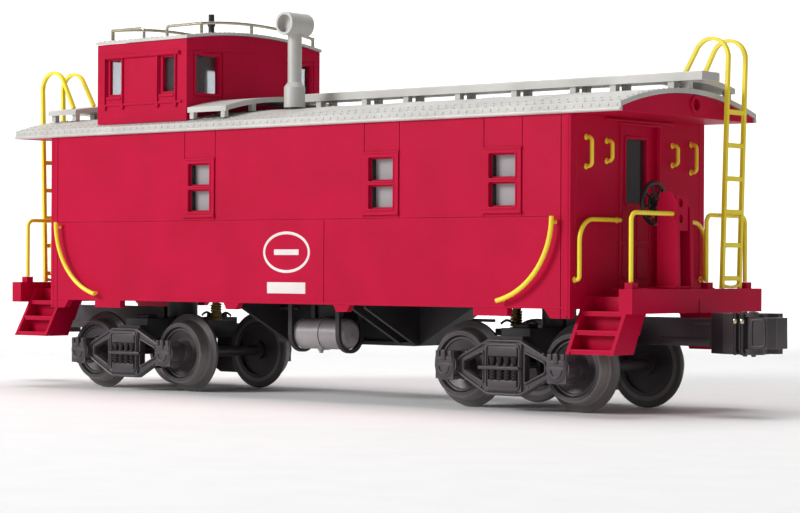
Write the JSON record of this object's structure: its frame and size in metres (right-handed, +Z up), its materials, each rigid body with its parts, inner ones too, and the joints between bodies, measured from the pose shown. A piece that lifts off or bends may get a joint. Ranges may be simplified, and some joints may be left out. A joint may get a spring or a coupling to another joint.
{
  "type": "O gauge model railroad caboose",
  "caption": "Model railroad caboose with a roof cupola, open end platforms with steps and ladders, swivelling trucks, turning wheelsets and opening coupler knuckles.",
  "frame": {"origin": "middle of the car in plan, on the plane that the wheel flanges stand on", "axes": "+X along the car towards the end farthest from the cupola, +Y across the car, +Z up"},
  "size_m": [0.274, 0.0644, 0.1085],
  "materials": {
    "red_body": "satin",
    "silver_roof": "satin",
    "nickel_wire": "polished",
    "yellow_trim": "satin",
    "black_underframe": "satin",
    "black_trim": "satin",
    "brass_fittings": "polished",
    "frosted_glazing": "frosted",
    "clear_glazing": "clear",
    "truck_castings": "satin",
    "wheel_metal": "satin",
    "coupler_metal": "satin"
  },
  "bodies": {
    "carbody": {"body_shell": "red_body", "main_roof": "silver_roof", "roof_end_panels": "red_body", "cupola_shell": "red_body", "cupola_roof": "silver_roof", "roof_walk_front": "silver_roof", "roof_walk_rear": "silver_roof", "cupola_cross_walk": "silver_roof", "smoke_jack": "silver_roof", "cupola_rails": "nickel_wire", "cupola_post": "black_trim", "underframe": "black_underframe", "kingpins": "brass_fittings", "air_tank": "black_underframe", "tank_straps": "black_underframe", "battery_box": "black_underframe", "platform_front": "red_body", "platform_rear": "red_body", "steps_front": "red_body", "steps_rear": "red_body", "side_grab_irons": "yellow_trim", "end_grab_irons_front": "yellow_trim", "end_grab_irons_rear": "yellow_trim", "railing_front": "yellow_trim", "railing_rear": "yellow_trim", "ladder_front": "yellow_trim", "ladder_rear": "yellow_trim", "brake_stand_front": "red_body", "brake_stand_rear": "red_body", "brake_wheel_front": "black_trim", "brake_wheel_rear": "black_trim", "side_glazing": "frosted_glazing", "door_glazing": "clear_glazing", "cupola_glazing": "clear_glazing"},
    "truck_front": {"truck_bolster_front": "truck_castings", "side_frames_front": "truck_castings", "spring_post_front": "brass_fittings", "coupler_front": "coupler_metal"},
    "coupler_knuckle_front": {"knuckle_front": "coupler_metal"},
    "truck_rear": {"truck_bolster_rear": "truck_castings", "side_frames_rear": "truck_castings", "spring_post_rear": "brass_fittings", "coupler_rear": "coupler_metal"},
    "coupler_knuckle_rear": {"knuckle_rear": "coupler_metal"},
    "wheels_front_outer": {"wheelset_1": "wheel_metal"},
    "wheels_front_inner": {"wheelset_2": "wheel_metal"},
    "wheels_rear_inner": {"wheelset_3": "wheel_metal"},
    "wheels_rear_outer": {"wheelset_4": "wheel_metal"}
  },
  "joints": [
    {"name": "truck_front_swivel", "type": "hinge", "parent": "carbody", "child": "truck_front", "pos_m": [0.0695, 0, 0.02], "axis": [0, 0, 1], "range_deg": [-14, 14]},
    {"name": "knuckle_front_open", "type": "hinge", "parent": "truck_front", "child": "coupler_knuckle_front", "pos_m": [0.1305, -0.004, 0.0204], "axis": [0, 0, -1], "range_deg": [0, 35]},
    {"name": "truck_rear_swivel", "type": "hinge", "parent": "carbody", "child": "truck_rear", "pos_m": [-0.0695, 0, 0.02], "axis": [0, 0, 1], "range_deg": [-14, 14]},
    {"name": "knuckle_rear_open", "type": "hinge", "parent": "truck_rear", "child": "coupler_knuckle_rear", "pos_m": [-0.1305, 0.004, 0.0204], "axis": [0, 0, -1], "range_deg": [0, 35]},
    {"name": "wheels_front_outer_spin", "type": "hinge", "parent": "truck_front", "child": "wheels_front_outer", "pos_m": [0.0873, 0, 0.01125], "axis": [0, 1, 0], "continuous": true},
    {"name": "wheels_front_inner_spin", "type": "hinge", "parent": "truck_front", "child": "wheels_front_inner", "pos_m": [0.0517, 0, 0.01125], "axis": [0, 1, 0], "continuous": true},
    {"name": "wheels_rear_inner_spin", "type": "hinge", "parent": "truck_rear", "child": "wheels_rear_inner", "pos_m": [-0.0517, 0, 0.01125], "axis": [0, 1, 0], "continuous": true},
    {"name": "wheels_rear_outer_spin", "type": "hinge", "parent": "truck_rear", "child": "wheels_rear_outer", "pos_m": [-0.0873, 0, 0.01125], "axis": [0, 1, 0], "continuous": true}
  ]
}
